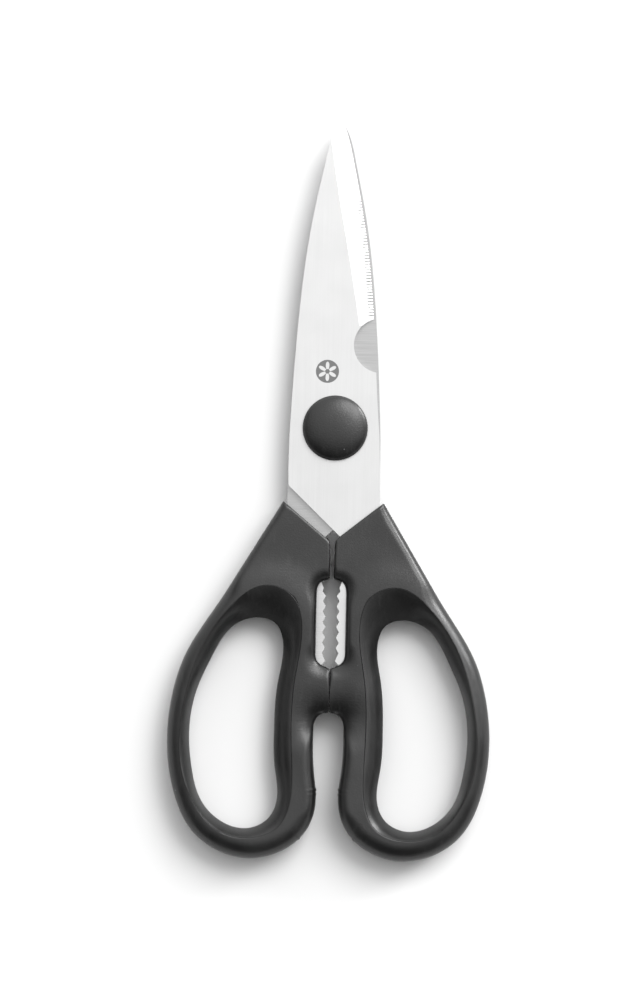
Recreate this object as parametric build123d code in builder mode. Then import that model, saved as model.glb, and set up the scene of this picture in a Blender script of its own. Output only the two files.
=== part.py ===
"""Poultry shears with a bone notch, a toothed gripper between the handles and a capped pivot.

Frame: the pivot axis is the Z axis, the blade tips point to +Y and the shears lie flat
with their underside on z = 0.  The front half is the front blade and the handle on +X.
The rear half is the front half turned half a turn about the long axis.
"""
from build123d import *
from math import asin, cos, degrees, radians, sin
import os

os.makedirs("parts", exist_ok=True)

# ---------------------------------------------------------------- driving dimensions, mm
THICKNESS = 11.6          # handles and pivot stack, face to face
MID_Z = THICKNESS / 2     # plane where the two blades meet

# blades
BLADE_GAP = 0.1           # between the inner faces of the blades
BLADE_THICK = 2.3
BLADE_IN = MID_Z + BLADE_GAP / 2
BLADE_OUT = BLADE_IN + BLADE_THICK
EDGE_THICK = 0.35         # left standing at the cutting edge
HEEL_ROUND = 1.2
NOTCH_CENTRE = (12.3, 23.2)
NOTCH_RADIUS = 7.65
NOTCH_CHAMFER = 0.6
SERRATION_FROM_TIP = 23.5 # along the cutting edge
SERRATION_RUN = 32.8
SERRATION_PITCH = 0.8
SERRATION_RADIUS = 0.5
SERRATION_DEPTH = 0.14
SERRATION_LENGTH = 3.0
BEVEL_TILT = 22.0         # degrees between the bevel and the blade's face

# gripper jaw and tang
JAW_TIP_X = 1.5
JAW_ROOT_X = 2.3
JAW_FIRST_Y = -46.4
JAW_PITCH = 2.88
JAW_TEETH = 6
TOOTH_ROUND = 0.3
TANG_HOLE_RADIUS = 1.6    # the plastic locks through these
TANG_HOLE_X = 6.9
TANG_HOLES_Y = (-38.0, -53.5, -68.5)

# handles
OUTER_ROUND = 3.3         # along the outer edge
CHEEK_CHAMFER = 0.7       # where a handle ends on its blade
THROAT_CHAMFER = 0.9      # around the gripper opening
HOLE_LAND = 1.8           # half height of the straight wall inside a finger hole
SCOOP_BULGE = 4.9         # half height of the liner midway from hole to parting line
LINER_WALL_SHARE = 0.45   # liner's wall, as a share of the way from hole to parting line
LINER_BED = 3.0           # half height of the hard core under the liner

# pivot
CAP_RADIUS = 9.0
CAP_LIFT = 0.1            # front cap's clearance over the front blade
CAP_CAVITY_RADIUS = 7.4
DOME_RISE = 0.9
CAP_RIM_ROUND = 1.3
REAR_CAP_ROUND = 2.4
REAR_CAP_FLOOR = 1.0
REAR_CAP_LEDGE = 1.0
BARREL_RADIUS = 3.5
BARREL_PLAY = 0.06        # in the front blade's hole
KEY_RADIUS = 4.0          # double-D key, barrel to rear blade
KEY_FLATS = 7.0
FLANGE_RADIUS = 6.0
FLANGE_THICK = 1.2
SCREW_RADIUS = 1.95
THREAD_RADIUS = 2.0
THREAD_END_Z = 3.2
SCREW_END_Z = 3.6
HEAD_THICK = 1.1
SNAP_DEPTH = 0.25         # groove in the screw head, bead in the cap
SNAP_HEIGHT = 0.4
SLOT_WIDTH = 1.2
SLOT_DEPTH = 0.5
WASHER_GAP = 0.05
FRICTION_THICK = 0.5
FRICTION_RADIUS = 7.0
FRICTION_BORE = 3.55
SPRING_THICK = 0.35
SPRING_CONE = 0.35
SPRING_RADIUS = 6.5
SPRING_BORE = 3.6

# ---------------------------------------------------------------- outlines of the front half
TIP = (0.1, 85.9)
SPINE = [(-1.9, 82.6), (-4.2, 74.4), (-6.5, 63.4), (-8.8, 49.6), (-10.6, 32.5), (-11.9, 13.0)]
SPINE_END = (-12.6, -2.0)
EDGE = [(1.55, 82.2), (3.5, 74.4), (5.75, 63.4), (8.1, 49.3), (9.9, 32.5), (11.15, 13.0)]
EDGE_END = (12.3, -2.0)
ROOT = [(9.5, -46.0), (12.2, -31.0), (12.9, -22.0), (12.65, -12.0)]
HEEL = (-12.55, -16.1)
CROTCH = (2.0, -30.0)     # where blade and handle meet beside the slit

# height along the blade, grind line, and the cutting edge
BEVEL_STATIONS = [
    (28.6, 6.05, 10.3),
    (41.3, 3.95, 9.1),
    (52.3, 2.0, 7.7),
    (63.3, -0.05, 5.77),
    (74.9, -2.0, 3.35),
    (87.5, -4.2, -0.2),
]

SHOULDER = (13.9, -20.5)
FLANK_END = (28.3, -44.4)
BOW = [
    (35.05, -54.8), (39.9, -63.2), (42.8, -71.9), (44.5, -86.0), (42.3, -101.6), (37.3, -111.7),
    (28.6, -117.8), (20.0, -119.2), (12.2, -117.0), (5.7, -111.5), (3.05, -103.3), (3.75, -95.0),
]
ARCH_FOOT = (4.15, -84.0)
ARCH_MID = (2.9, -80.4)
STOP_LOW = (0.1, -78.8)
STOP_TOP = (0.1, -66.5)
THROAT = [(1.8, -65.8), (3.3, -64.8), (4.05, -62.4), (4.05, -46.2), (3.4, -43.1), (0.5, -41.7)]
SLIT_TOP = (0.75, -31.2)
CUT_BACK = [(17.8, -17.3), (-0.5, -32.4), (-0.5, -15.8)]

# finger hole, and the parting line between core and liner, point for point
HOLE_LOOP = [
    (20.5, -52.8), (26.6, -55.0), (32.5, -63.6), (36.9, -74.0), (38.45, -85.5), (37.5, -95.0),
    (34.6, -103.9), (29.5, -109.0), (22.0, -111.0), (16.0, -108.0), (13.8, -102.5),
    (14.6, -94.0), (15.05, -84.0), (14.2, -70.0), (13.1, -59.5), (15.2, -54.4),
]
PARTING_LOOP = [
    (18.6, -44.0), (26.9, -49.1), (35.2, -60.8), (39.4, -73.8), (41.0, -86.0), (39.9, -96.5),
    (36.4, -104.6), (30.6, -111.2), (21.8, -113.5), (13.2, -110.2), (10.4, -104.0),
    (9.9, -94.0), (10.3, -83.0), (9.6, -69.8), (8.0, -54.9), (10.9, -46.6),
]

TURNED_OVER = Location((0, 0, 2 * MID_Z), (0, 180, 0))


def between(share):
    """Closed loop a share of the way from the finger hole to the parting line."""
    pairs = zip(HOLE_LOOP, PARTING_LOOP)
    return [(hx + share * (px - hx), hy + share * (py - hy)) for (hx, hy), (px, py) in pairs]


def serration_plane(share):
    """Axis of one serration groove, up the bevel from the cutting edge."""
    edge_point = edge_curve @ share
    along = edge_curve % share
    inward = Vector(along.Y, -along.X, 0)
    tilt = radians(BEVEL_TILT)
    up_bevel = inward * cos(tilt) + Vector(0, 0, sin(tilt))
    off_bevel = Vector(0, 0, cos(tilt)) - inward * sin(tilt)
    edge_top = Vector(edge_point.X, edge_point.Y, BLADE_IN + EDGE_THICK)
    centre = edge_top + off_bevel * (SERRATION_RADIUS - SERRATION_DEPTH)
    return Plane(origin=centre, x_dir=along, z_dir=up_bevel)


# ---------------------------------------------------------------- blades
jaw_teeth = []
for tooth in range(JAW_TEETH):
    tooth_y = JAW_FIRST_Y - tooth * JAW_PITCH
    jaw_teeth += [(JAW_TIP_X, tooth_y), (JAW_ROOT_X, tooth_y - JAW_PITCH / 2)]

with BuildPart() as blade_blank:
    with BuildSketch(Plane.XY.offset(BLADE_IN)):
        with BuildLine():
            Spline(TIP, *SPINE, SPINE_END)
            edge_curve = Spline(TIP, *EDGE, EDGE_END)
            Polyline(SPINE_END, (-12.7, -11.8), HEEL, CROTCH, (2.9, -33.0), (2.9, -42.4))
            Polyline((2.9, -42.4), (2.2, -44.2), (2.45, -45.2), *jaw_teeth, (1.35, -64.4))
            Polyline((1.35, -64.4), (3.0, -66.2), (4.6, -66.8), (4.6, -73.2), (9.5, -73.2))
            Polyline((9.5, -73.2), *ROOT, EDGE_END)
        make_face()
        jaw_corners = vertices().filter_by_position(Axis.Y, -66.9, -43.0)
        fillet(jaw_corners.filter_by_position(Axis.X, 1.0, 4.0), TOOTH_ROUND)
        fillet(vertices().sort_by_distance((*HEEL, BLADE_IN))[0], HEEL_ROUND)
    extrude(amount=BLADE_THICK)
    for station_y, grind_x, edge_x in BEVEL_STATIONS:
        fall = (BLADE_THICK - EDGE_THICK) / (edge_x - grind_x)
        with BuildSketch(Plane.XZ.offset(-station_y)):
            with BuildLine():
                Polyline(
                    (grind_x - 0.5, BLADE_OUT + 0.5 * fall),
                    (edge_x + 1.0, BLADE_OUT + 0.5 * fall),
                    (edge_x + 1.0, BLADE_IN + EDGE_THICK - fall),
                    close=True,
                )
            make_face()
    loft(mode=Mode.SUBTRACT)
    with BuildSketch(Plane.XY.offset(BLADE_IN)):
        with Locations(*[(TANG_HOLE_X, hole_y) for hole_y in TANG_HOLES_Y]):
            Circle(TANG_HOLE_RADIUS)
    extrude(amount=BLADE_THICK, mode=Mode.SUBTRACT)

serrations = int(SERRATION_RUN / SERRATION_PITCH) + 1
groove_places = []
for groove in range(serrations):
    reached = SERRATION_FROM_TIP + groove * SERRATION_PITCH
    groove_places.append(serration_plane(reached / edge_curve.length))

with BuildPart() as front_blade:
    add(blade_blank.part)
    with BuildSketch(Plane.XY.offset(BLADE_IN)):
        Circle(BARREL_RADIUS + BARREL_PLAY)
        with Locations(NOTCH_CENTRE):
            Circle(NOTCH_RADIUS)
    extrude(amount=BLADE_THICK, mode=Mode.SUBTRACT)
    with Locations((*NOTCH_CENTRE, BLADE_OUT)):
        Cone(NOTCH_RADIUS - NOTCH_CHAMFER, NOTCH_RADIUS + NOTCH_CHAMFER, 2 * NOTCH_CHAMFER,
             mode=Mode.SUBTRACT)
    with Locations(*groove_places):
        Cylinder(SERRATION_RADIUS, SERRATION_LENGTH, mode=Mode.SUBTRACT)
front_blade.part.label = "front_blade"

with BuildPart() as rear_blade:
    with Locations(TURNED_OVER):
        add(blade_blank.part)
    with BuildSketch(Plane.XY.offset(BLADE_IN - BLADE_GAP)):
        Circle(KEY_RADIUS)
        Rectangle(KEY_FLATS, 2 * KEY_RADIUS, mode=Mode.INTERSECT)
    extrude(amount=-BLADE_THICK, mode=Mode.SUBTRACT)
rear_blade.part.label = "rear_blade"

# ---------------------------------------------------------------- handles and liners
with BuildPart() as handle_blank:
    with BuildSketch():
        with BuildLine():
            flank = Line(SHOULDER, FLANK_END)
            Spline(FLANK_END, *BOW, ARCH_FOOT, tangents=(flank % 1, (0, 1)))
            ThreePointArc(ARCH_FOOT, ARCH_MID, STOP_LOW)
            Polyline(STOP_LOW, STOP_TOP, *THROAT, SLIT_TOP, CROTCH, SHOULDER)
        make_face()
    extrude(amount=THICKNESS)
    for face_z in (0, THICKNESS):
        rim = edges().sort_by_distance((44.5, -86.0, face_z))[0]
        side = edges().sort_by_distance((20.0, -32.0, face_z))[0]
        fillet([rim, side], OUTER_ROUND)
    throat_edges = []
    for face_z in (0, THICKNESS):
        for spot in [(4.05, -54.0), (3.7, -44.6), (1.9, -42.4), (3.7, -63.6), (2.5, -65.3), (1.0, -66.1)]:
            throat_edges.append(edges().sort_by_distance((*spot, face_z))[0])
    chamfer(throat_edges, THROAT_CHAMFER)
    chamfer(edges().sort_by_distance((7.5, -25.5, THICKNESS))[0], CHEEK_CHAMFER)
    with BuildSketch():
        with BuildLine():
            Polyline(*CUT_BACK, close=True)
        make_face()
    extrude(amount=BLADE_IN, mode=Mode.SUBTRACT)
    with BuildSketch():
        with BuildLine():
            Spline(*HOLE_LOOP, periodic=True)
        make_face()
    extrude(amount=THICKNESS, mode=Mode.SUBTRACT)
    for side in (1, -1):
        for share, rise in ((0, HOLE_LAND), (0.5, SCOOP_BULGE), (1.05, MID_Z + 0.1)):
            with BuildSketch(Plane.XY.offset(MID_Z + side * rise)):
                with BuildLine():
                    Spline(*between(share), periodic=True)
                make_face()
        loft(mode=Mode.SUBTRACT)

with BuildPart() as liner_bed:
    for share, mode in ((1.3, Mode.ADD), (LINER_WALL_SHARE, Mode.SUBTRACT)):
        with BuildSketch(Plane.XY.offset(MID_Z - LINER_BED)):
            with BuildLine():
                Spline(*between(share), periodic=True)
            make_face()
        extrude(amount=2 * LINER_BED, mode=mode)

with BuildPart() as front_grip_liner:
    with BuildSketch(Plane.XY.offset(-1)):
        with BuildLine():
            Spline(*PARTING_LOOP, periodic=True)
        make_face()
    extrude(amount=THICKNESS + 2)
    add(handle_blank.part, mode=Mode.INTERSECT)
    add(liner_bed.part, mode=Mode.SUBTRACT)
front_grip_liner.part.label = "front_grip_liner"

with BuildPart() as front_handle:
    add(handle_blank.part)
    add(front_grip_liner.part, mode=Mode.SUBTRACT)
    add(front_blade.part, mode=Mode.SUBTRACT)
front_handle.part.label = "front_handle"

with BuildPart() as rear_grip_liner:
    with Locations(TURNED_OVER):
        add(front_grip_liner.part)
rear_grip_liner.part.label = "rear_grip_liner"

with BuildPart() as rear_handle:
    with Locations(TURNED_OVER):
        add(front_handle.part)
rear_handle.part.label = "rear_handle"

# ---------------------------------------------------------------- pivot
FLANGE_Z = MID_Z - (BLADE_OUT - MID_Z)        # rear face of the rear blade
FRICTION_Z = BLADE_OUT + WASHER_GAP
SPRING_Z = FRICTION_Z + FRICTION_THICK
HEAD_Z = SPRING_Z + SPRING_THICK + SPRING_CONE
HEAD_TOP = HEAD_Z + HEAD_THICK

with BuildPart() as pivot_barrel:
    with BuildSketch(Plane.XY.offset(FLANGE_Z - FLANGE_THICK)):
        Circle(FLANGE_RADIUS)
    extrude(amount=FLANGE_THICK)
    with BuildSketch(Plane.XY.offset(FLANGE_Z)):
        Circle(KEY_RADIUS)
        Rectangle(KEY_FLATS, 2 * KEY_RADIUS, mode=Mode.INTERSECT)
    extrude(amount=BLADE_THICK)
    with BuildSketch(Plane.XY.offset(FLANGE_Z + BLADE_THICK)):
        Circle(BARREL_RADIUS)
    extrude(amount=HEAD_Z - FLANGE_Z - BLADE_THICK)
    with BuildSketch(Plane.XY.offset(THREAD_END_Z)):
        Circle(THREAD_RADIUS)
    extrude(amount=HEAD_Z - THREAD_END_Z, mode=Mode.SUBTRACT)
pivot_barrel.part.label = "pivot_barrel"

with BuildPart() as pivot_screw:
    with BuildSketch(Plane.XY.offset(SCREW_END_Z)):
        Circle(SCREW_RADIUS)
    extrude(amount=HEAD_Z - SCREW_END_Z)
    with BuildSketch(Plane.XY.offset(HEAD_Z)):
        Circle(FLANGE_RADIUS)
    extrude(amount=HEAD_THICK)
    with BuildSketch(Plane.XY.offset(HEAD_Z + (HEAD_THICK - SNAP_HEIGHT) / 2)):
        Circle(FLANGE_RADIUS)
        Circle(FLANGE_RADIUS - SNAP_DEPTH, mode=Mode.SUBTRACT)
    extrude(amount=SNAP_HEIGHT, mode=Mode.SUBTRACT)
    with BuildSketch(Plane.XY.offset(HEAD_TOP)):
        Rectangle(2 * FLANGE_RADIUS, SLOT_WIDTH)
    extrude(amount=-SLOT_DEPTH, mode=Mode.SUBTRACT)
pivot_screw.part.label = "pivot_screw"

with BuildPart() as friction_washer:
    with BuildSketch(Plane.XY.offset(FRICTION_Z)):
        Circle(FRICTION_RADIUS)
        Circle(FRICTION_BORE, mode=Mode.SUBTRACT)
    extrude(amount=FRICTION_THICK)
friction_washer.part.label = "friction_washer"

with BuildPart() as spring_washer:
    with BuildSketch(Plane.XZ):
        with BuildLine():
            Polyline(
                (SPRING_BORE, SPRING_Z + SPRING_CONE),
                (SPRING_BORE, SPRING_Z + SPRING_CONE + SPRING_THICK),
                (SPRING_RADIUS, SPRING_Z + SPRING_THICK),
                (SPRING_RADIUS, SPRING_Z),
                close=True,
            )
        make_face()
    revolve(axis=Axis.Z)
spring_washer.part.label = "spring_washer"

CAP_FOOT = BLADE_OUT + CAP_LIFT
BEAD_Z = HEAD_Z + (HEAD_THICK - SNAP_HEIGHT) / 2
DOME_RADIUS = (CAP_RADIUS**2 + DOME_RISE**2) / (2 * DOME_RISE)
DOME_ARC = degrees(asin(CAP_RADIUS / DOME_RADIUS))
with BuildPart() as front_cap:
    with BuildSketch(Plane.XZ):
        with BuildLine():
            dome = CenterArc((0, THICKNESS - DOME_RADIUS), DOME_RADIUS, 90 - DOME_ARC, DOME_ARC)
            Polyline(
                (0, THICKNESS),
                (0, HEAD_TOP),
                (FLANGE_RADIUS, HEAD_TOP),
                (FLANGE_RADIUS, BEAD_Z + SNAP_HEIGHT),
                (FLANGE_RADIUS - SNAP_DEPTH, BEAD_Z + SNAP_HEIGHT),
                (FLANGE_RADIUS - SNAP_DEPTH, BEAD_Z),
                (FLANGE_RADIUS, BEAD_Z),
                (FLANGE_RADIUS, HEAD_Z),
                (CAP_CAVITY_RADIUS, HEAD_Z),
                (CAP_CAVITY_RADIUS, CAP_FOOT),
                (CAP_RADIUS, CAP_FOOT),
                dome @ 0,
            )
        make_face()
        rim_corner = (CAP_RADIUS, 0, THICKNESS - DOME_RISE)
        fillet(vertices().sort_by_distance(rim_corner)[0], CAP_RIM_ROUND)
    revolve(axis=Axis.Z)
front_cap.part.label = "front_cap"

with BuildPart() as rear_cap:
    with BuildSketch():
        Circle(CAP_RADIUS)
    extrude(amount=FLANGE_Z)
    fillet(edges().group_by(Axis.Z)[0], REAR_CAP_ROUND)
    with BuildSketch(Plane.XY.offset(FLANGE_Z - FLANGE_THICK)):
        Circle(FLANGE_RADIUS)
    extrude(amount=FLANGE_THICK, mode=Mode.SUBTRACT)
    with BuildSketch(Plane.XY.offset(REAR_CAP_FLOOR)):
        Circle(FLANGE_RADIUS - REAR_CAP_LEDGE)
    extrude(amount=FLANGE_Z - FLANGE_THICK - REAR_CAP_FLOOR, mode=Mode.SUBTRACT)
rear_cap.part.label = "rear_cap"

# ---------------------------------------------------------------- export
pieces = [
    front_blade, rear_blade, front_handle, rear_handle, front_grip_liner, rear_grip_liner,
    pivot_barrel, pivot_screw, friction_washer, spring_washer, front_cap, rear_cap,
]
for piece in pieces:
    export_step(piece.part, f"parts/{piece.part.label}.step")
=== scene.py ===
"""Looks of the poultry shears: moulded handles, soft liners, ground steel blades, capped pivot."""

from math import pi, radians

import bpy
import numpy as np
from mathutils import Matrix, Vector


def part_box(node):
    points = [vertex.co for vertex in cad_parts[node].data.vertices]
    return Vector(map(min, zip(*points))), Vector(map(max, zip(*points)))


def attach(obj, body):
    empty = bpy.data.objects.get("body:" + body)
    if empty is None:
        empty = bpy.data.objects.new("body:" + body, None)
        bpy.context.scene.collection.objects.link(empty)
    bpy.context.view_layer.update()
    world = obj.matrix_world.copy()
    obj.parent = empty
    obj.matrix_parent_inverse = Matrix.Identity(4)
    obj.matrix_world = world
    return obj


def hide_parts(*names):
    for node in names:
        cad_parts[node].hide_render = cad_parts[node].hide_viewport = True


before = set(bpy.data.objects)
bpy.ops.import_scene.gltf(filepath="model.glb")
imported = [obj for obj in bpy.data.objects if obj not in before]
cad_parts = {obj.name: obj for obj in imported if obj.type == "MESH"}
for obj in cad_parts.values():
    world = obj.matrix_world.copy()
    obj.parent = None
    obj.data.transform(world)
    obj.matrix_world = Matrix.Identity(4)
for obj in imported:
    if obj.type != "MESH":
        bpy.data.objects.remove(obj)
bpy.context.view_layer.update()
scene = bpy.context.scene
MM = 0.001
SHARP_FROM = 40           # degrees between faces, from where an edge is shaded sharp

# ---------------------------------------------------------------- sizes, mm, front half
LOW, HIGH = (corner * 1000 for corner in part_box("front_handle"))
HALF_HEIGHT = (HIGH.z - LOW.z) / 2
MID_Z = (HIGH.z + LOW.z) / 2
BLADE_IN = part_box("front_blade")[0].z * 1000 - MID_Z      # heights from the middle plane
LEDGE_TOP, LEDGE_LOW = 0.8, 0.3         # step over the rear cheek, up from the blade's inner face
HOLE_LAND = 1.3           # half height of the finger hole's innermost band
LINER_START = 0.5         # the liner's slope at the seam, against its mean slope
BAR_MIDDLE, BAR_SPREAD = 12.0, 1.7      # the bar between hole and gap, in seam numbers
BAR_DROP = 0.55           # the seam lies this much lower along the bar
BAR_BEND = 1.5            # how late that fall comes, from the bar's edge to the seam
BAR_LINER_START = 0.15    # the liner's slope at the seam along the bar
SEAM_WIDTH = 0.1          # half width of the groove between handle and liner
SEAM_DEPTH = 0.08
CRACK_AT, CRACK_LENGTH = 12.6, 0.9      # where the groove has opened a little, in seam numbers
CRACK_DEPTH = 0.35
WEB_DROP = 0.7            # the plate between the loops lies this much below their crests
WEB_REACH = 9.0           # distance from the seam over which it falls
WEB_FOOT = (-82.0, -62.0) # Y between which that fall comes in
CORNER_SOFTNESS = 0.3     # rounds the outline's corners
BLEND_LENGTH = 2.0        # along the outline, between edge roundings

# Bits of moulding flash left on the outer edge: x, y, how far each stands out
FLASH_NUBS = [(3.3, -99.9, 0.3), (3.2, -101.2, 0.16), (7.4, -113.6, 0.2)]
NUB_WIDTH = 0.38

# Rows of points along and across the moulded surfaces
OUTLINE_STEP = 0.36       # mm along the outline
RIM_STEPS = (0.0, 0.06, 0.2, 0.42, 0.75, 1.15, 1.65, 2.2, 2.8, 3.4)     # mm in from the edge
RIM_SHARE = 0.62          # most of the way to the seam that these take up
TOP_STEPS = 12            # from there to the seam
LINER_STEPS = 18
INNER_WALL_STEPS = 5      # up and down a seam's hidden wall
OUTER_WALL_STEPS = 3      # up and down an outer wall and a finger hole's land
SEAM_SAMPLES = 240        # points that distances from the seam are measured to
BATCH = 4000              # points measured at a time

# Edge roundings of the handle: (inward reach, depth)
SOFT_EDGE = (5.0, 4.0)
FLANK_EDGE = (2.5, 2.6)
CRISP_EDGE = (0.5, 0.6)
THROAT_EDGE = (1.7, 2.2)
THROAT_TOP_EDGE = (4.0, 2.5)
THROAT_FOOT_EDGE = (5.0, 2.4)
ARCH_EDGE = (11.0, 4.0)
GAP_EDGE = (2.9, 3.6)
GAP_FROM, GAP_TO = 9.6, 11.9            # the edge beside the gap, in seam numbers
STOP_EDGE = (0.3, 0.3)

CAP_DOME = 2.3            # rise of the cap's dome over its wall
CAP_FOOT = 0.25           # chamfer at the wall's foot
CAP_CENTRE = 0.02         # radius of the flat spot under the cap
CAP_CROWN = 89.6          # degrees up the dome where its last ring lies
CAP_SIDES, CAP_RINGS = 96, 26

# Outline of the handle on +X; the third number of a point is the seam number facing it
SHOULDER = (13.9, -20.5)
FLANK_END = (28.3, -44.4)
BOW = [
    (35.05, -54.8, 1.55), (39.9, -63.2, 2.2), (42.8, -71.9, 2.9), (44.5, -86.0, 4.0),
    (42.3, -101.6, 5.4), (37.3, -111.7, 6.65), (28.6, -117.8, 7.4), (20.0, -119.2, 8.15),
    (12.2, -117.0, 8.75), (5.7, -111.5, 9.4), (3.05, -103.3, 10.15), (3.75, -95.0, 10.9),
]
ARCH_FOOT = (4.15, -84.0, GAP_TO)
ARCH = [(3.55, -80.5, 12.0), (2.2, -79.2, 12.1)]
STOP_LOW, STOP_TOP = (0.1, -78.8, 12.3), (0.1, -66.5, 13.2)
THROAT_FOOT = [(1.8, -65.8, 13.3), (3.3, -64.8, 13.4)]
THROAT_LOW, THROAT_HIGH = (4.05, -62.4, 13.5), (4.05, -46.2, 14.5)
THROAT_TOP = [(3.4, -43.1, 14.8)]
SLIT_FOOT = (0.5, -41.7, 15.2)

# where each side's cheek ends on its blade, by the slit
FRONT_CHEEK = {"slit_top": (0.75, -31.2), "crotch": (2.0, -30.0)}
BACK_CHEEK = {"slit_top": (0.7, -31.9), "crotch": (1.4, -30.9)}

# finger hole, and the seam between handle and liner, point for point
HOLE_LOOP = [
    (20.5, -52.8), (26.6, -55.0), (32.5, -63.6), (36.9, -74.0), (38.45, -85.5), (37.5, -95.0),
    (34.6, -103.9), (29.5, -109.0), (22.0, -111.0), (16.0, -108.0), (13.8, -102.5),
    (14.6, -94.0), (15.05, -84.0), (14.2, -70.0), (13.1, -59.5), (15.2, -54.4),
]
SEAM_LOOP = [
    (18.6, -44.0), (26.9, -49.1), (35.2, -60.8), (39.4, -73.8), (41.0, -86.0), (39.9, -96.5),
    (36.4, -104.6), (30.6, -111.2), (21.8, -113.5), (13.2, -110.2), (10.4, -104.0),
    (9.9, -94.0), (10.3, -83.0), (9.6, -69.8), (8.0, -54.9), (10.9, -46.6),
]


# ---------------------------------------------------------------- curves
def curve_through(points, ends=None):
    """Smooth curve through points as a function of the point number; closed if ends is None."""
    knots = np.array(points, float)
    count = len(knots)
    closed = ends is None
    following = np.roll(knots, -1, axis=0) if closed else knots[1:]
    chords = following - knots[: len(following)]
    lengths = np.linalg.norm(chords[:, :2], axis=1)
    system = np.zeros((count, count))
    right = np.zeros_like(knots)
    for i in range(count):
        if not closed and i in (0, count - 1):
            system[i, i] = 1
            right[i, :2] = ends[0 if i == 0 else 1]
            right[i, 2:] = (chords[min(i, count - 2)] / lengths[min(i, count - 2)])[2:]
            continue
        before, after = lengths[i - 1], lengths[i]
        system[i, i - 1] += after
        system[i, i] += 2 * (before + after)
        system[i, (i + 1) % count] += before
        right[i] = 3 * (after * chords[i - 1] / before + before * chords[i] / after)
    slopes = np.linalg.solve(system, right)

    def at(numbers):
        numbers = np.asarray(numbers, float)
        start = np.floor(numbers).astype(int)
        if closed:
            first, second = start % count, (start + 1) % count
        else:
            start = np.clip(start, 0, count - 2)
            first, second = start, start + 1
        f = (numbers - start)[:, None]
        h = lengths[first][:, None]
        return (
            (2 * f**3 - 3 * f**2 + 1) * knots[first]
            + (f**3 - 2 * f**2 + f) * h * slopes[first]
            + (3 * f**2 - 2 * f**3) * knots[second]
            + (f**3 - f**2) * h * slopes[second]
        )

    return at


def smooth_round(values, places, reach):
    """Averages closed-loop values over a length reach; places is the distance along the loop."""
    total = places[-1] + (places[-1] - places[-2])
    gap = np.abs(places[:, None] - places[None, :])
    gap = np.minimum(gap, total - gap)
    weight = np.exp(-0.5 * (gap / reach) ** 2)
    return (weight @ values) / weight.sum(1)[:, None]


hole_at = curve_through(HOLE_LOOP)
seam_at = curve_through(SEAM_LOOP)


# ---------------------------------------------------------------- handle outline
def outline_pieces(cheek):
    """Stretches of the outline: points, end directions where it curves, and the edge's rounding."""
    slit_top, crotch = cheek["slit_top"], cheek["crotch"]
    flank = np.subtract(FLANK_END, SHOULDER)
    flank = flank / np.linalg.norm(flank)
    up, inward, outward = (0, 1), (-1, 0), (0.9, 0.3)
    return [
        ([(*SHOULDER, 0.0), (*FLANK_END, 1.0)], None, FLANK_EDGE),
        ([(*FLANK_END, 1.0), *BOW, ARCH_FOOT], (flank, up), SOFT_EDGE),
        ([ARCH_FOOT, *ARCH, STOP_LOW], (up, inward), ARCH_EDGE),
        ([STOP_LOW, STOP_TOP], None, STOP_EDGE),
        ([STOP_TOP, *THROAT_FOOT, THROAT_LOW], (outward, up), THROAT_FOOT_EDGE),
        ([THROAT_LOW, THROAT_HIGH], None, THROAT_EDGE),
        ([THROAT_HIGH, *THROAT_TOP, SLIT_FOOT], (up, inward), THROAT_TOP_EDGE),
        ([SLIT_FOOT, (*slit_top, 15.35)], None, CRISP_EDGE),
        ([(*slit_top, 15.35), (*crotch, 15.42)], None, CRISP_EDGE),
        ([(*crotch, 15.42), (*SHOULDER, 16.0)], None, CRISP_EDGE),
    ]


def outline(cheek):
    """Rows of x, y, seam number, edge reach and edge depth; both cheeks give as many rows."""
    rows = []
    patterns = [piece[0] for piece in outline_pieces(FRONT_CHEEK)]
    for (points, ends, edge), pattern in zip(outline_pieces(cheek), patterns):
        points = np.array(points, float)
        run = np.linalg.norm(np.diff(np.array(pattern)[:, :2], axis=0), axis=1).sum()
        steps = max(3, round(run / OUTLINE_STEP))
        numbers = np.linspace(0, len(points) - 1, steps, endpoint=False)
        if ends is None:
            stretch = points[0] + (points[-1] - points[0]) * (numbers / (len(points) - 1))[:, None]
        else:
            stretch = curve_through(points, ends)(numbers)
        rows.append(np.column_stack([stretch, np.tile(edge, (steps, 1))]))
    rows = np.vstack(rows)
    beside_gap = (rows[:, 2] > GAP_FROM) & (rows[:, 2] < GAP_TO)
    rows[beside_gap, 3:] = GAP_EDGE
    places = np.concatenate([[0], np.cumsum(np.linalg.norm(np.diff(rows[:, :2], axis=0), axis=1))])
    rows[:, :2] = smooth_round(rows[:, :2], places, CORNER_SOFTNESS)
    rows[:, 3:] = smooth_round(rows[:, 3:], places, BLEND_LENGTH)
    ahead = np.roll(rows[:, :2], -1, axis=0) - np.roll(rows[:, :2], 1, axis=0)
    outward = np.column_stack([-ahead[:, 1], ahead[:, 0]]) / np.linalg.norm(ahead, axis=1)[:, None]
    for x, y, size in FLASH_NUBS:
        away = np.linalg.norm(rows[:, :2] - (x, y), axis=1)
        rows[:, :2] += outward * (size * np.exp(-((away / NUB_WIDTH) ** 2)))[:, None]
    return rows


def distances(points, loop):
    """Distance of every point to every side of a closed outline."""
    along = np.roll(loop, -1, axis=0) - loop
    away = points[:, None, :] - loop[None, :, :]
    share = np.clip((away * along).sum(2) / (along**2).sum(1), 0, 1)
    return np.linalg.norm(away - share[..., None] * along, axis=2)


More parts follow.
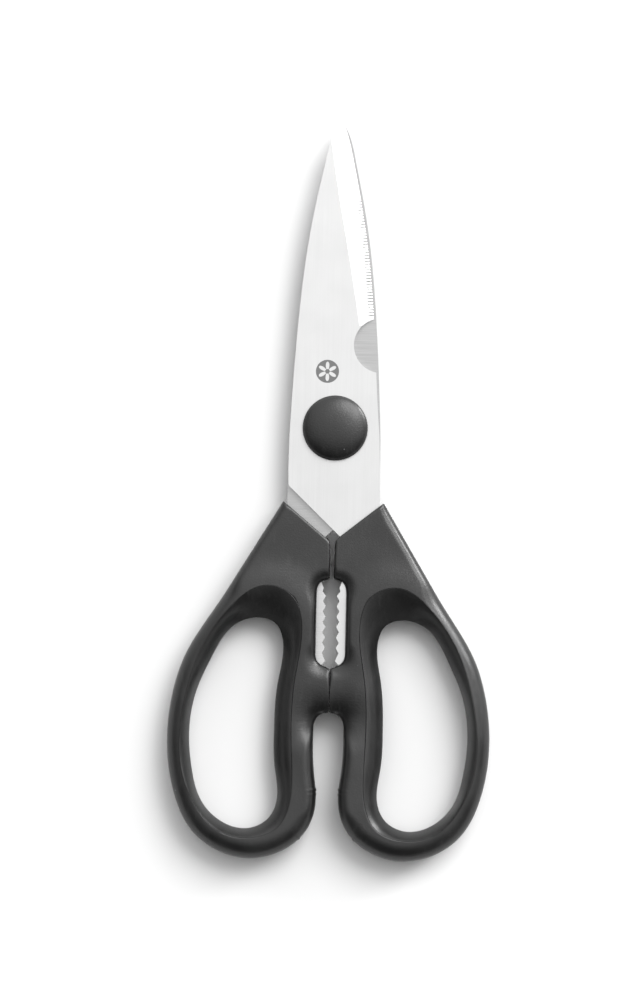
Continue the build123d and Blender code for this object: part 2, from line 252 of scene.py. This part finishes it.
def edge_height(points, rows):
    """Half height of the handle's top surface at points, from its distance to every edge."""
    rim, reach, depth = rows[:, :2], rows[:, 3], rows[:, 4]
    seam = seam_at(np.linspace(0, len(SEAM_LOOP), SEAM_SAMPLES, endpoint=False))
    heights = []
    for some in np.array_split(points, len(points) // BATCH + 1):
        slope = np.clip(1 - distances(some, rim) / reach, 0, 1)
        rounding = (depth * (1 - np.sqrt(1 - slope**2))).max(1)
        share = np.clip(distances(some, seam).min(1) / WEB_REACH, 0, 1)
        fade = np.clip((some[:, 1] - WEB_FOOT[0]) / (WEB_FOOT[1] - WEB_FOOT[0]), 0, 1)
        heights.append(HALF_HEIGHT - rounding - WEB_DROP * fade * share**2 * (3 - 2 * share))
    return np.concatenate(heights)


def bar_share(numbers):
    """1 along the bar between finger hole and gap, falling to 0 away from it."""
    return np.exp(-(((numbers - BAR_MIDDLE) / BAR_SPREAD) ** 2))


def groove_depth(numbers):
    """Depth of the groove between handle and liner at each seam number."""
    return SEAM_DEPTH + CRACK_DEPTH * np.exp(-(((numbers - CRACK_AT) / CRACK_LENGTH) ** 4))


def core_top(rows):
    """Rings of the handle's top surface, from its outline to the seam."""
    rim = rows[:, :2]
    seam = seam_at(rows[:, 2])
    width = np.linalg.norm(seam - rim, axis=1)
    inward = (seam - rim) / width[:, None]
    rings = []
    for step in RIM_STEPS:
        reach = np.minimum(step, width * RIM_SHARE * step / RIM_STEPS[-1])
        rings.append(rim + inward * reach[:, None])
    last = np.linalg.norm(rings[-1] - rim, axis=1)
    for k in range(1, TOP_STEPS + 1):
        share = k / TOP_STEPS
        distance = last + (width - SEAM_WIDTH - last) * share
        rings.append(rim + inward * distance[:, None])
    rings.append(rim + inward * width[:, None])
    flat = np.array(rings)
    heights = edge_height(flat.reshape(-1, 2), rows).reshape(flat.shape[:2])
    across = np.linalg.norm(flat - rim, axis=2) / width
    heights -= bar_share(rows[:, 2]) * BAR_DROP * across**BAR_BEND
    heights[-1] -= groove_depth(rows[:, 2])
    return flat, heights


def ring_surface(name, rings):
    """Closed mesh from rings of points, the last joined to the first."""
    levels, count = rings.shape[:2]
    corners = np.arange(levels * count).reshape(levels, count)
    up = np.roll(corners, -1, axis=0)
    quads = np.stack(
        [corners, np.roll(corners, -1, axis=1), np.roll(up, -1, axis=1), up], axis=-1
    ).reshape(-1, 4)
    mesh = bpy.data.meshes.new(name)
    mesh.from_pydata((rings.reshape(-1, 3) * MM).tolist(), [], quads.tolist())
    mesh.update()
    piece = bpy.data.objects.new(name, mesh)
    scene.collection.objects.link(piece)
    return piece


def raised(flat, heights):
    """Flat points lifted to their heights over the middle plane."""
    return np.concatenate([flat, (MID_Z + heights)[..., None]], axis=-1)


def wall(upper, lower, levels):
    """Rings strictly between two rings."""
    shares = np.linspace(0, 1, levels + 2)[1:-1]
    return np.array([upper + (lower - upper) * share for share in shares])


def handle_core():
    """Closed rings of the hard handle: down the outside, under, up the seam and over the top."""
    front_rows, back_rows = outline(FRONT_CHEEK), outline(BACK_CHEEK)
    front = raised(*core_top(front_rows))
    flat, heights = core_top(back_rows)
    back = raised(flat, -heights)
    ledge_top = front[0].copy()
    ledge_top[:, 2] = MID_Z + BLADE_IN + LEDGE_TOP
    ledge_low = back[0].copy()
    ledge_low[:, 2] = MID_Z + BLADE_IN + LEDGE_LOW
    rings = [
        front,
        wall(front[-1], back[-1], INNER_WALL_STEPS),
        back[::-1],
        wall(back[0], ledge_low, OUTER_WALL_STEPS),
        [ledge_low, ledge_top],
        wall(ledge_top, front[0], OUTER_WALL_STEPS),
    ]
    return np.concatenate(rings)[::-1]


def liner():
    """Closed rings of the finger hole's lining, which falls from the seam to a narrow land."""
    numbers = outline(FRONT_CHEEK)[:, 2]
    seam, hole = seam_at(numbers), hole_at(numbers)
    start = SEAM_WIDTH / np.linalg.norm(hole - seam, axis=1)
    crest = HALF_HEIGHT - BAR_DROP * bar_share(numbers)
    slope = LINER_START + (BAR_LINER_START - LINER_START) * bar_share(numbers)
    rings, heights = [seam], [crest - groove_depth(numbers)]
    for share in np.linspace(0, 1, LINER_STEPS):
        rings.append(seam + (hole - seam) * (start + (1 - start) * share)[:, None])
        heights.append(crest - (crest - HOLE_LAND) * (slope * share + (1 - slope) * share**2))
    flat, heights = np.array(rings), np.array(heights)
    top, bottom = raised(flat, heights), raised(flat, -heights)
    rings = [
        top,
        wall(top[-1], bottom[-1], OUTER_WALL_STEPS),
        bottom[::-1],
        wall(bottom[0], top[0], INNER_WALL_STEPS),
    ]
    return np.concatenate(rings)[::-1]


def cap():
    """Rings of the domed cap over the pivot, from its foot up the wall and over the dome."""
    low, high = (corner * 1000 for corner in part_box("front_cap"))
    radius = (high.x - low.x) / 2
    turns = np.linspace(0, 2 * np.pi, CAP_SIDES, endpoint=False)
    around = np.column_stack([np.cos(turns), np.sin(turns), np.zeros(CAP_SIDES)])
    shoulder = high.z - CAP_DOME
    lean = np.radians(np.linspace(0, CAP_CROWN, CAP_RINGS))
    profile = [(CAP_CENTRE, low.z), (radius - CAP_FOOT, low.z), (radius, low.z + CAP_FOOT)]
    profile += [(radius * np.cos(angle), shoulder + CAP_DOME * np.sin(angle)) for angle in lean]
    return np.array([around * across + [0, 0, height] for across, height in profile])


def turned_over(rings):
    """The same rings for the rear half: half a turn about the long axis."""
    return rings * [-1, 1, -1] + [0, 0, 2 * MID_Z]


def finished(piece, body, node, material):
    """Gives a mesh its material and shading, and hands it over in place of its CAD node."""
    piece.data.materials.append(material)
    piece.data.shade_smooth()
    piece.data.set_sharp_from_angle(angle=radians(SHARP_FROM))
    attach(piece, body)
    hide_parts(node)


# ---------------------------------------------------------------- materials
NOISE_RANGE = (0.3, 0.7)  # values that count as the low and the high end of noise
SPECK_SIZE = 0.07         # of the largest speck, in cells

# moulded plastic
FLOW_WAVE = 1 / 9.0       # cloudy tone, waves per mm
FLOW_TONE = (0.75, 1.35)
FLOW_MATT = (-0.04, 0.05) # added to the roughness
SCUFF_WAVES = (1.6, 0.25, 0.6)
SCUFF_RANGE = (0.52, 0.75)              # noise values where scuffs begin and are full
SCUFF_TONE, SCUFF_MATT = 0.6, 0.09
DUST_SPACING = 2.6        # mm
DUST_TONE, DUST_RELIEF = 0.12, 0.5
GRAIN_DEPTH = 0.035       # mm
PLASTIC_SHINE = 0.45
SHEEN, SHEEN_ROUGHNESS = 0.05, 0.35

# blades
FLAT_FACING = 0.9995      # cosine to Z from which a face counts as flat
STREAK_WAVES = (3.2, 0.03, 3.2)         # rolled lengthwise, waves per mm
GRINDING_WAVES = (0.09, 4.2, 4.2)       # ground across
CLOUD_WAVE = 0.11
CLOUD_TONE = (0.985, 1.015)
JAW_BAND = (-42.0, -38.0) # painted shade: the inner faces are darker above this band, where the front blade shades them; below it, on the jaws, they take JAW_SHADE
JAW_SHADE = 0.42
WALL_PAINTED_LIGHT, BEVEL_PAINTED_LIGHT = 0.85, 0.54    # steep faces, and the bevel: painted light, the steep faces much lighter than the flat, the bevel a little lighter
WALL_FACING, BEVEL_FACING = 0.75, 0.9   # cosines to Z between which one turns into the other
STREAK_CONTRAST, GRINDING_CONTRAST = 0.1, 0.34
STEEL_MATT = (0.29, 0.34)
BEVEL_MATT = -0.08        # added on the edges
STEEL_RELIEF = 0.0015     # mm
ETCH_TONE, ETCH_MATT = -0.72, 0.2
ROSETTE = ((-2.5, 15.7), 3.2)           # centre and radius of the etched mark, mm
PETAL_WAVES = 3.0         # gives six petals
PETAL_LENGTH, PETAL_START = 0.84, 0.2   # shares of the radius

# turned pivot parts
RING_WAVES = 38.0         # radians per mm
TURNED_CLOUD_WAVE = 0.4
TURNED_TONE = (0.85, 1.1)
TURNED_MATT = (0.25, 0.4)
TURNED_RELIEF = 0.003     # mm


class Graph:
    """Shorthand for building a material's nodes; every value may be a number or a socket."""

    def __init__(self, name):
        self.material = bpy.data.materials.new(name)
        self.material.use_nodes = True
        tree = self.material.node_tree
        self.nodes, self.links = tree.nodes, tree.links
        self.shader = tree.nodes["Principled BSDF"]
        self.place = self.nodes.new("ShaderNodeTexCoord")

    def put(self, socket, value):
        if isinstance(value, bpy.types.NodeSocket):
            self.links.new(value, socket)
        else:
            socket.default_value = value

    def math(self, operation, *values):
        node = self.nodes.new("ShaderNodeMath")
        node.operation = operation
        for socket, value in zip(node.inputs, values):
            self.put(socket, value)
        return node.outputs[0]

    def spread(self, value, low, high, to_low, to_high, smooth=True):
        """Value between low and high, turned into a value between to_low and to_high."""
        node = self.nodes.new("ShaderNodeMapRange")
        node.interpolation_type = "SMOOTHSTEP" if smooth else "LINEAR"
        for socket, number in zip(node.inputs, (value, low, high, to_low, to_high)):
            self.put(socket, number)
        return node.outputs[0]

    def scaled(self, scale):
        """Object place in mm, stretched along each axis."""
        node = self.nodes.new("ShaderNodeVectorMath")
        node.operation = "MULTIPLY"
        self.put(node.inputs[0], self.place.outputs["Object"])
        node.inputs[1].default_value = [factor / MM for factor in scale]
        return node.outputs[0]

    def noise(self, scale, detail=3.0):
        """Noise from 0 to 1; scale holds the waves per mm along x, y and z."""
        node = self.nodes.new("ShaderNodeTexNoise")
        self.put(node.inputs["Vector"], self.scaled(scale))
        node.inputs["Scale"].default_value = 1
        node.inputs["Detail"].default_value = detail
        return node.outputs["Fac"]

    def specks(self, spacing, share):
        """1 in small random spots, else 0; cells are spacing mm wide, and a share hold one."""
        node = self.nodes.new("ShaderNodeTexVoronoi")
        self.put(node.inputs["Vector"], self.scaled([1 / spacing] * 3))
        node.inputs["Scale"].default_value = 1
        chance = self.math("SUBTRACT", self.red(node.outputs["Color"]), 1 - share)
        size = self.math("MULTIPLY", chance, SPECK_SIZE / share)
        return self.math("LESS_THAN", node.outputs["Distance"], size)

    def red(self, colour):
        node = self.nodes.new("ShaderNodeSeparateColor")
        self.put(node.inputs[0], colour)
        return node.outputs["Red"]

    def axes(self, vector):
        node = self.nodes.new("ShaderNodeSeparateXYZ")
        self.put(node.inputs[0], vector)
        return node.outputs

    def from_axis(self, x, y):
        """Distance in mm from a line along Z; x and y are sockets."""
        squares = [self.math("MULTIPLY", value, value) for value in (x, y)]
        return self.math("SQRT", self.math("ADD", *squares))

    def grey(self, value):
        node = self.nodes.new("ShaderNodeCombineColor")
        for socket in node.inputs[:3]:
            self.put(socket, value)
        return node.outputs[0]

    def bump(self, height, distance):
        """Height from 0 to 1 over a distance in mm."""
        node = self.nodes.new("ShaderNodeBump")
        node.inputs["Strength"].default_value = 1
        node.inputs["Distance"].default_value = distance * MM
        self.put(node.inputs["Height"], height)
        self.put(self.shader.inputs["Normal"], node.outputs["Normal"])


def plastic(name, shade, roughness, grain, dust):
    """Moulded plastic: fine grain, faint flow and handling marks, a little dust."""
    graph = Graph(name)
    fine = graph.noise([1 / grain] * 3, 4.0)
    broad = graph.noise([FLOW_WAVE] * 3, 2.0)
    scuffs = graph.spread(graph.noise(SCUFF_WAVES, 5.0), *SCUFF_RANGE, 0, 1)
    speck = graph.specks(DUST_SPACING, dust)
    tone = graph.math("MULTIPLY", shade, graph.spread(broad, *NOISE_RANGE, *FLOW_TONE))
    tone = graph.math("MULTIPLY_ADD", scuffs, shade * SCUFF_TONE, tone)
    tone = graph.math("MULTIPLY_ADD", speck, DUST_TONE, tone)
    graph.put(graph.shader.inputs["Base Color"], graph.grey(tone))
    smoother, rougher = (roughness + change for change in FLOW_MATT)
    matt = graph.math("ADD", graph.spread(broad, *NOISE_RANGE, smoother, rougher),
                      graph.math("MULTIPLY", scuffs, SCUFF_MATT))
    graph.put(graph.shader.inputs["Roughness"], matt)
    graph.shader.inputs["Specular IOR Level"].default_value = PLASTIC_SHINE
    graph.shader.inputs["Sheen Weight"].default_value = SHEEN
    graph.shader.inputs["Sheen Roughness"].default_value = SHEEN_ROUGHNESS
    graph.bump(graph.math("ADD", fine, graph.math("MULTIPLY", speck, DUST_RELIEF)), GRAIN_DEPTH)
    return graph.material


def blade_steel(name, outward, flat_shade, inside_painted_shade, mark=None):
    """Sheet steel: lengthwise streaks outside, cross grinding inside, a smoother bevel; painted
    shade on the inner faces above the jaws, painted light on the bevel and the steep faces.
    """
    graph = Graph(name)
    facing = graph.math("MULTIPLY", graph.axes(graph.place.outputs["Normal"])["Z"], outward)
    outside = graph.math("GREATER_THAN", facing, FLAT_FACING)
    inside = graph.math("LESS_THAN", facing, -FLAT_FACING)
    edge = graph.math("SUBTRACT", 1.0, graph.math("ADD", outside, inside))
    streaks = graph.noise(STREAK_WAVES)
    grinding = graph.noise(GRINDING_WAVES)
    clouds = graph.noise([CLOUD_WAVE] * 3, 2.0)
    marks = graph.math("MULTIPLY_ADD", inside, graph.math("SUBTRACT", grinding, streaks), streaks)
    along = graph.axes(graph.scaled((1, 1, 1)))["Y"]
    # painted shade: the inner faces are darker above the jaws, where the front blade shades them
    inner_painted_shade = graph.spread(along, *JAW_BAND, JAW_SHADE, inside_painted_shade)
    # painted light: the steep faces much lighter than the flat, the bevel a little lighter
    edge_painted_light = graph.spread(facing, WALL_FACING, BEVEL_FACING, WALL_PAINTED_LIGHT, BEVEL_PAINTED_LIGHT)
    inner_change = graph.math("SUBTRACT", inner_painted_shade, flat_shade)
    tone = graph.math("MULTIPLY_ADD", inside, inner_change, flat_shade)
    tone = graph.math("MULTIPLY_ADD", edge, graph.math("SUBTRACT", edge_painted_light, flat_shade), tone)
    contrast = graph.math("MULTIPLY_ADD", inside, GRINDING_CONTRAST, STREAK_CONTRAST)
    grained = graph.math("MULTIPLY_ADD", graph.math("SUBTRACT", marks, 0.5), contrast, 1.0)
    tone = graph.math("MULTIPLY", tone, grained)
    tone = graph.math("MULTIPLY", tone, graph.spread(clouds, *NOISE_RANGE, *CLOUD_TONE))
    matt = graph.spread(marks, *NOISE_RANGE, *STEEL_MATT, False)
    matt = graph.math("MULTIPLY_ADD", edge, BEVEL_MATT, matt)
    if mark:
        etched = graph.math("MULTIPLY", rosette(graph, *mark), outside)
        tone = graph.math("MULTIPLY", tone, graph.math("MULTIPLY_ADD", etched, ETCH_TONE, 1.0))
        matt = graph.math("MULTIPLY_ADD", etched, ETCH_MATT, matt)
    graph.put(graph.shader.inputs["Base Color"], graph.grey(tone))
    graph.put(graph.shader.inputs["Roughness"], matt)
    graph.shader.inputs["Metallic"].default_value = 1
    graph.bump(marks, STEEL_RELIEF)
    return graph.material


def rosette(graph, centre, radius):
    """1 on an etched disc with six plain petals left bright, else 0."""
    place = graph.axes(graph.scaled((1, 1, 1)))
    x = graph.math("SUBTRACT", place["X"], centre[0])
    y = graph.math("SUBTRACT", place["Y"], centre[1])
    away = graph.from_axis(x, y)
    turn = graph.math("MULTIPLY", graph.math("ARCTAN2", y, x), PETAL_WAVES)
    petal_edge = graph.math("MULTIPLY", graph.math("ABSOLUTE", graph.math("SINE", turn)),
                            radius * PETAL_LENGTH)
    petals = graph.math("MULTIPLY", graph.math("LESS_THAN", away, petal_edge),
                        graph.math("GREATER_THAN", away, radius * PETAL_START))
    disc = graph.math("LESS_THAN", away, radius)
    return graph.math("MULTIPLY", disc, graph.math("SUBTRACT", 1.0, petals))


def turned_steel(name, shade):
    """Lathe-turned steel: fine rings round the pivot's axis."""
    graph = Graph(name)
    place = graph.axes(graph.scaled((1, 1, 1)))
    away = graph.from_axis(place["X"], place["Y"])
    rings = graph.math("SINE", graph.math("MULTIPLY", away, RING_WAVES))
    clouds = graph.noise([TURNED_CLOUD_WAVE] * 3)
    tone = graph.math("MULTIPLY", shade, graph.spread(clouds, *NOISE_RANGE, *TURNED_TONE))
    graph.put(graph.shader.inputs["Base Color"], graph.grey(tone))
    graph.put(graph.shader.inputs["Roughness"], graph.spread(clouds, *NOISE_RANGE, *TURNED_MATT))
    graph.shader.inputs["Metallic"].default_value = 1
    graph.bump(rings, TURNED_RELIEF)
    return graph.material


# shade, roughness, grain in mm, share of dusty cells
handle_plastic = plastic("handle_plastic", 0.005, 0.34, 0.45, 0.12)
liner_rubber = plastic("liner_rubber", 0.0035, 0.36, 0.35, 0.16)
cap_plastic = plastic("cap_plastic", 0.004, 0.35, 0.4, 0.06)
washer_plastic = plastic("washer_plastic", 0.35, 0.5, 0.4, 0.01)
# side that faces out, shade of the outside, shade of the inside, darker as painted shade
front_steel = blade_steel("front_blade_steel", 1, 0.455, 0.31, ROSETTE)
rear_steel = blade_steel("rear_blade_steel", -1, 0.4, 0.3)
pivot_steel = turned_steel("pivot_steel", 0.6)
spring_steel = turned_steel("spring_steel", 0.4)

# ---------------------------------------------------------------- pieces
core_rings, liner_rings = handle_core(), liner()
for side, body in (("front", "front_half"), ("rear", "rear_half")):
    for word, rings, slot, material in (
        ("handle", core_rings, "handle_plastic", handle_plastic),
        ("grip_liner", liner_rings, "grip_rubber", liner_rubber),
    ):
        placed = rings if side == "front" else turned_over(rings)
        piece = ring_surface(f"{side}_{word}_moulding", placed)
        finished(piece, body, f"{side}_{word}", material)

piece = ring_surface("front_cap_moulding", cap())
finished(piece, "rear_half", "front_cap", cap_plastic)
for node, material in (
    ("front_blade", front_steel), ("rear_blade", rear_steel), ("rear_cap", cap_plastic),
    ("pivot_barrel", pivot_steel), ("pivot_screw", pivot_steel),
    ("friction_washer", washer_plastic), ("spring_washer", spring_steel),
):
    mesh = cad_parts[node].data
    mesh.materials.clear()
    mesh.materials.append(material)

# ---------------------------------------------------------------- floor
FLOOR_SIZE = 4.0          # m
FLOOR_DROP = 0.0001       # m, clear of the undersides
FLOOR_SHADE = 0.63
FLOOR_MATT = 0.9

bpy.ops.mesh.primitive_plane_add(size=FLOOR_SIZE, location=(0, 0, -FLOOR_DROP))
floor = bpy.context.object
floor.name = "floor"
paper = Graph("floor_white")
paper.shader.inputs["Base Color"].default_value = (FLOOR_SHADE, FLOOR_SHADE, FLOOR_SHADE, 1)
paper.shader.inputs["Roughness"].default_value = FLOOR_MATT
floor.data.materials.append(paper.material)

# ---------------------------------------------------------------- light
SKY_LEAN = (0.16, 0.68, 0.715) # towards the window, beyond the blades and to the right
HORIZON = 2.0                  # brightness of the white surroundings low down
HORIZON_TOP = 0.36             # height, as a sine, where they end
SKY_STEPS = [                  # cosine of the angle from there, brightness
    (-0.4, 0.06), (0.25, 0.16), (0.42, 0.5), (0.6, 1.25),
    (0.69, 1.79), (0.84, 1.8), (0.93, 2.0), (1.0, 1.6),
]
# place in m, side in m, radiance
KEY_LAMP = ((1.1, 1.5, 2.1), 1.7, 8.2)
RIM_LAMP = ((2.3, 1.6, 0.8), 0.8, 30.0)


def studio_sky():
    """Sky that is bright towards the window and dark away from it, with a white band all round."""
    world = bpy.data.worlds.new("studio")
    scene.world = world
    world.use_nodes = True
    nodes, links = world.node_tree.nodes, world.node_tree.links
    place = nodes.new("ShaderNodeTexCoord")
    lean = nodes.new("ShaderNodeVectorMath")
    lean.operation = "DOT_PRODUCT"
    lean.inputs[1].default_value = SKY_LEAN
    links.new(place.outputs["Generated"], lean.inputs[0])
    share = nodes.new("ShaderNodeMapRange")
    share.inputs["From Min"].default_value = SKY_STEPS[0][0]
    share.inputs["From Max"].default_value = SKY_STEPS[-1][0]
    links.new(lean.outputs["Value"], share.inputs["Value"])
    ramp = nodes.new("ShaderNodeValToRGB")
    ramp.color_ramp.interpolation = "LINEAR"
    span = SKY_STEPS[-1][0] - SKY_STEPS[0][0]
    top = max(level for _, level in SKY_STEPS)
    stops = ramp.color_ramp.elements     # a new ramp has two
    for number, (at, level) in enumerate(SKY_STEPS):
        where = (at - SKY_STEPS[0][0]) / span
        stop = stops[number] if number < 2 else stops.new(where)
        stop.position = where
        stop.color = (level / top, level / top, level / top, 1)
    links.new(share.outputs["Result"], ramp.inputs["Fac"])
    height = nodes.new("ShaderNodeSeparateXYZ")
    links.new(place.outputs["Generated"], height.inputs[0])
    low_down = nodes.new("ShaderNodeMapRange")
    low_down.interpolation_type = "SMOOTHSTEP"
    for socket, value in (("From Max", HORIZON_TOP), ("To Min", HORIZON / top), ("To Max", 0)):
        low_down.inputs[socket].default_value = value
    links.new(height.outputs["Z"], low_down.inputs["Value"])
    whole = nodes.new("ShaderNodeVectorMath")
    whole.operation = "ADD"
    links.new(ramp.outputs["Color"], whole.inputs[0])
    links.new(low_down.outputs["Result"], whole.inputs[1])
    background = nodes["Background"]
    background.inputs["Strength"].default_value = top
    links.new(whole.outputs[0], background.inputs["Color"])


def softbox(name, place, size, radiance):
    """Square lamp turned towards the origin."""
    lamp = bpy.data.lights.new(name, "AREA")
    lamp.shape = "SQUARE"
    lamp.size = size
    lamp.energy = radiance * pi * size**2
    holder = bpy.data.objects.new(name, lamp)
    scene.collection.objects.link(holder)
    holder.location = place
    holder.rotation_euler = (-Vector(place)).to_track_quat("-Z", "Y").to_euler()


studio_sky()
softbox("key", *KEY_LAMP)
softbox("rim", *RIM_LAMP)

# ---------------------------------------------------------------- camera
VIEW_CENTRE = (-3.9, -19.9, MID_Z)   # mm
VIEW_HEIGHT = 277.1                  # mm seen from bottom to top
VIEW_ROLL = 1.3                      # degrees, blades lean right
VIEW_TILT = 2.5                      # degrees from straight down, seen from the handles' side
CAMERA_DISTANCE = 1100.0             # mm
FARTHEST = 20.0                      # m drawn

camera_data = bpy.data.cameras.new("camera")
camera_data.sensor_fit = "AUTO"
camera_data.lens = camera_data.sensor_width * CAMERA_DISTANCE / VIEW_HEIGHT
camera_data.clip_end = FARTHEST
camera = bpy.data.objects.new("camera", camera_data)
scene.collection.objects.link(camera)
camera.matrix_world = (
    Matrix.Translation(Vector(VIEW_CENTRE) * MM)
    @ Matrix.Rotation(radians(VIEW_ROLL), 4, "Z")
    @ Matrix.Rotation(radians(VIEW_TILT), 4, "X")
    @ Matrix.Translation((0, 0, CAMERA_DISTANCE * MM))
)
scene.camera = camera
scene.view_settings.view_transform = "Standard"
